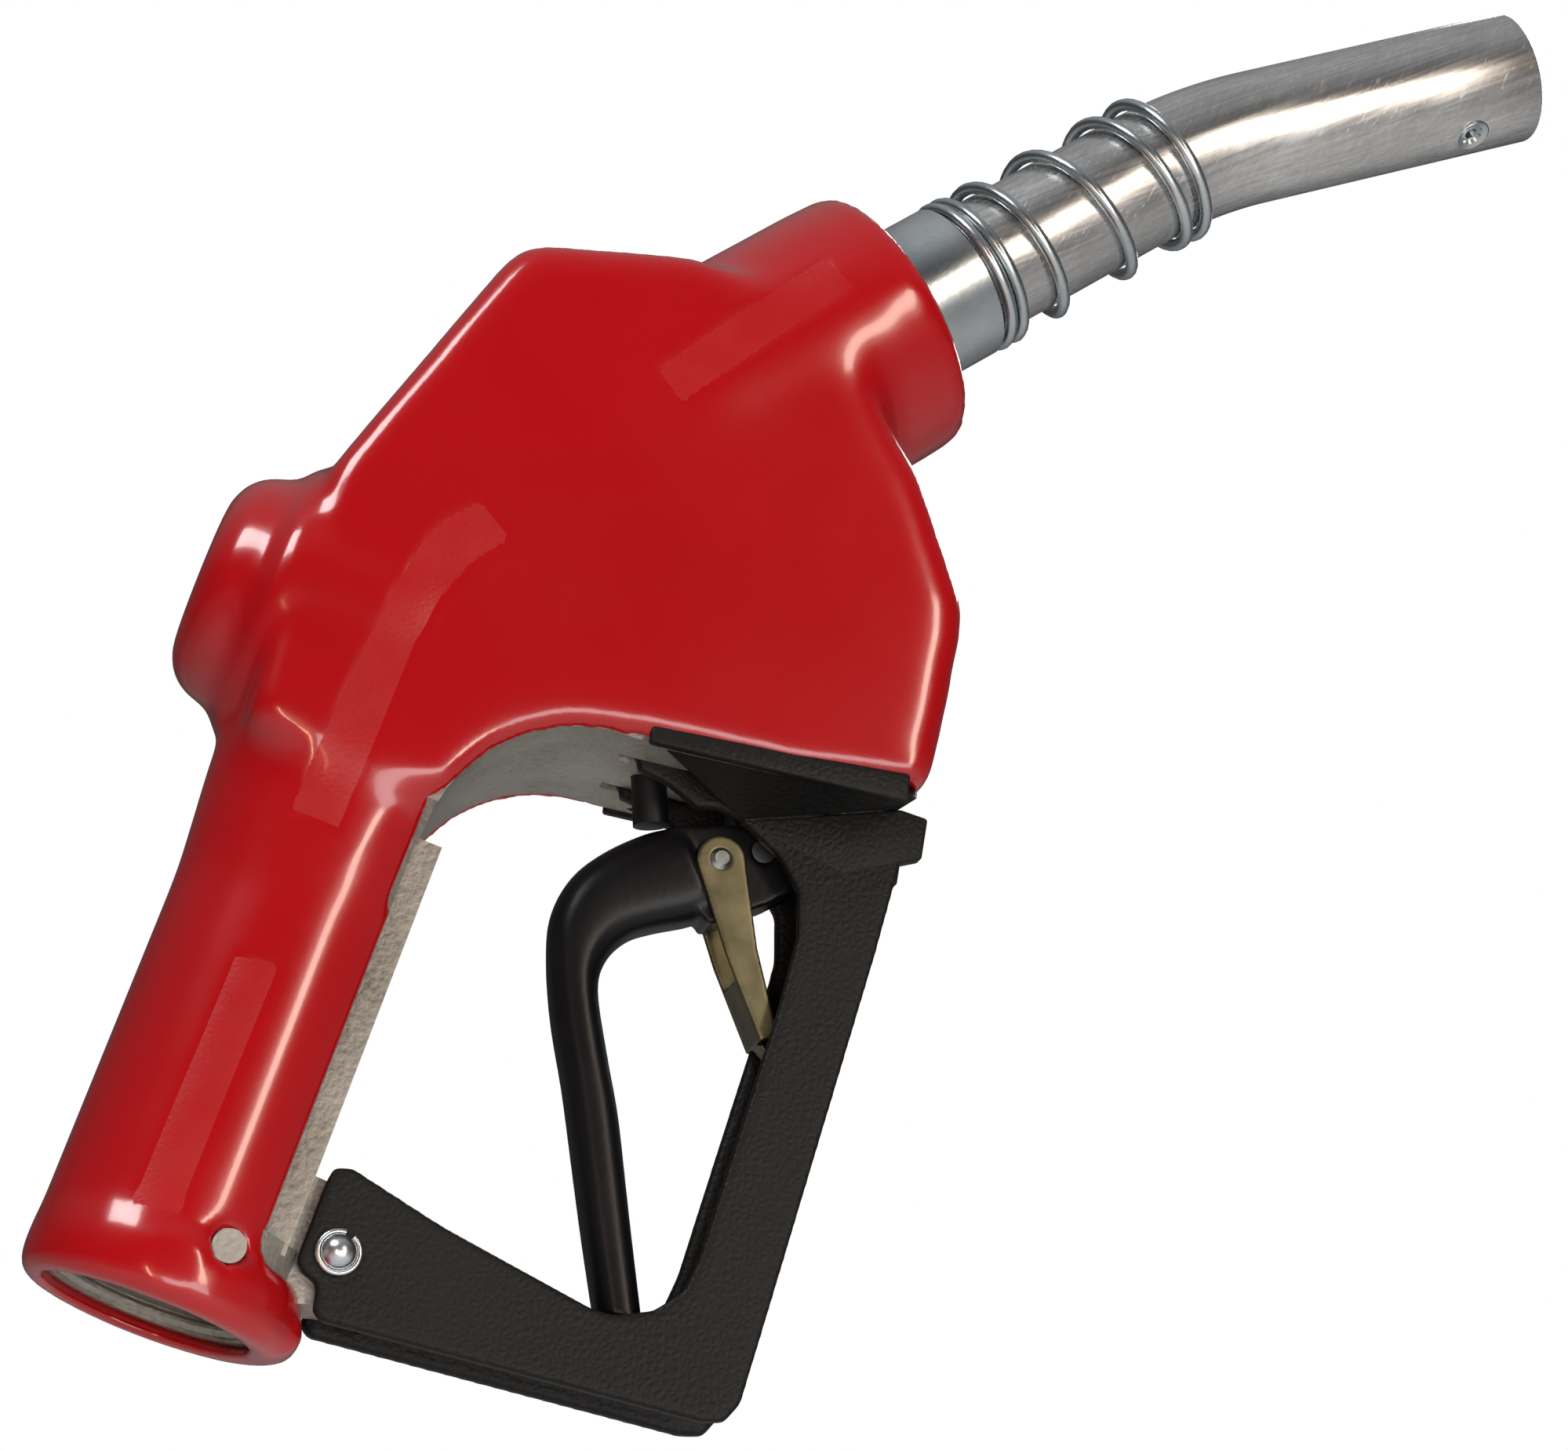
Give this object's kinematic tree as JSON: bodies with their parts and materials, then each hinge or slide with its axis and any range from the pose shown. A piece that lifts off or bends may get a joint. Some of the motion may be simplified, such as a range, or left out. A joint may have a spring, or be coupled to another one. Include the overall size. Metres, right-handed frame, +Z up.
{
  "type": "fuel nozzle",
  "caption": "Automatic shut-off fuel nozzle with a vinyl-covered cast body, a two-finger lever in a guard, a hold-open clip and a bent tubular spout with a wire spring.",
  "frame": {"origin": "centre of the hose inlet, in the mouth of the casting", "axes": "+X right and +Z up with the nozzle as it hangs in its holster, +Y across the nozzle; the grip rises 71 degrees from +X"},
  "size_m": [0.263, 0.048, 0.2623],
  "materials": {
    "cast": "cast, bead-blasted grain",
    "vinyl": "glossy red vinyl",
    "rubber": "matt black rubber",
    "brass": "turned",
    "zinc": "bright zinc plate",
    "yellow_zinc": "yellow zinc plate",
    "black_plastic": "leather-grained black plastic",
    "lever_plastic": "satin black plastic",
    "spout_metal": "long brush marks",
    "white_plastic": "plain"
  },
  "bodies": {
    "housing": {"valve_body": "cast", "vinyl_cover": "vinyl", "body_plug": "cast", "plug_oring": "rubber", "poppet_cap": "cast", "cap_oring": "rubber", "poppet_spring": "zinc", "valve_seat": "brass", "stem_packing": "white_plastic", "packing_nut": "brass", "trip_housing": "brass", "plunger_spring": "zinc", "diaphragm": "rubber", "diaphragm_cap": "cast", "diaphragm_spring": "zinc", "lever_guard": "black_plastic", "guard_screws": "zinc", "guard_rivet": "zinc", "push_nut": "zinc", "spout_adapter": "zinc", "adapter_oring": "rubber", "spout_screw": "zinc", "spout_tube": "spout_metal", "spout_spring": "zinc", "check_seat": "brass", "check_spring": "zinc", "vent_tube": "white_plastic", "sensing_port": "zinc"},
    "stem": {"valve_stem": "zinc", "main_poppet": "brass", "poppet_seal": "rubber"},
    "plunger": {"trip_plunger": "zinc", "latch_balls": "zinc", "lever_pin": "zinc"},
    "lever": {"lever": "lever_plastic", "clip_rivet": "zinc"},
    "clip": {"hold_open_clip": "yellow_zinc"},
    "latch": {"latch_pin": "zinc"},
    "check": {"check_poppet": "white_plastic"}
  },
  "joints": [
    {"name": "trip_slide", "type": "slide", "parent": "housing", "child": "plunger", "axis": [0.0523, 0, -0.9986], "range_m": [0, 0.007], "stiffness_N_per_m": 900, "springref_m": -0.004, "deforming": ["plunger_spring"]},
    {"name": "lever_pivot", "type": "hinge", "parent": "plunger", "child": "lever", "pos_m": [0.09753, 0, 0.07747], "axis": [0, 1, 0], "range_deg": [0, 15], "stiffness_Nm_per_rad": 2, "springref_deg": -8.59},
    {"name": "clip_pivot", "type": "hinge", "parent": "lever", "child": "clip", "pos_m": [0.09013, 0, 0.07548], "axis": [0, 1, 0], "range_deg": [-3, 4], "stiffness_Nm_per_rad": 0.02},
    {"name": "stem_slide", "type": "slide", "parent": "housing", "child": "stem", "axis": [-0.0523, 0, 0.9986], "range_m": [0, 0.0052], "deforming": ["poppet_spring"]},
    {"name": "latch_slide", "type": "slide", "parent": "housing", "child": "latch", "axis": [-0.0523, 0, 0.9986], "range_m": [0, 0.003], "stiffness_N_per_m": 400, "springref_m": -0.002, "deforming": ["diaphragm_spring", "diaphragm"]},
    {"name": "check_slide", "type": "slide", "parent": "housing", "child": "check", "axis": [0.8339, 0, 0.5519], "range_m": [0, 0.004], "stiffness_N_per_m": 150, "springref_m": -0.003, "deforming": ["check_spring"]}
  ],
  "couplings": [
    {"joint": "stem_slide", "follows": "lever_pivot", "m_per_rad": 0.0193}
  ]
}
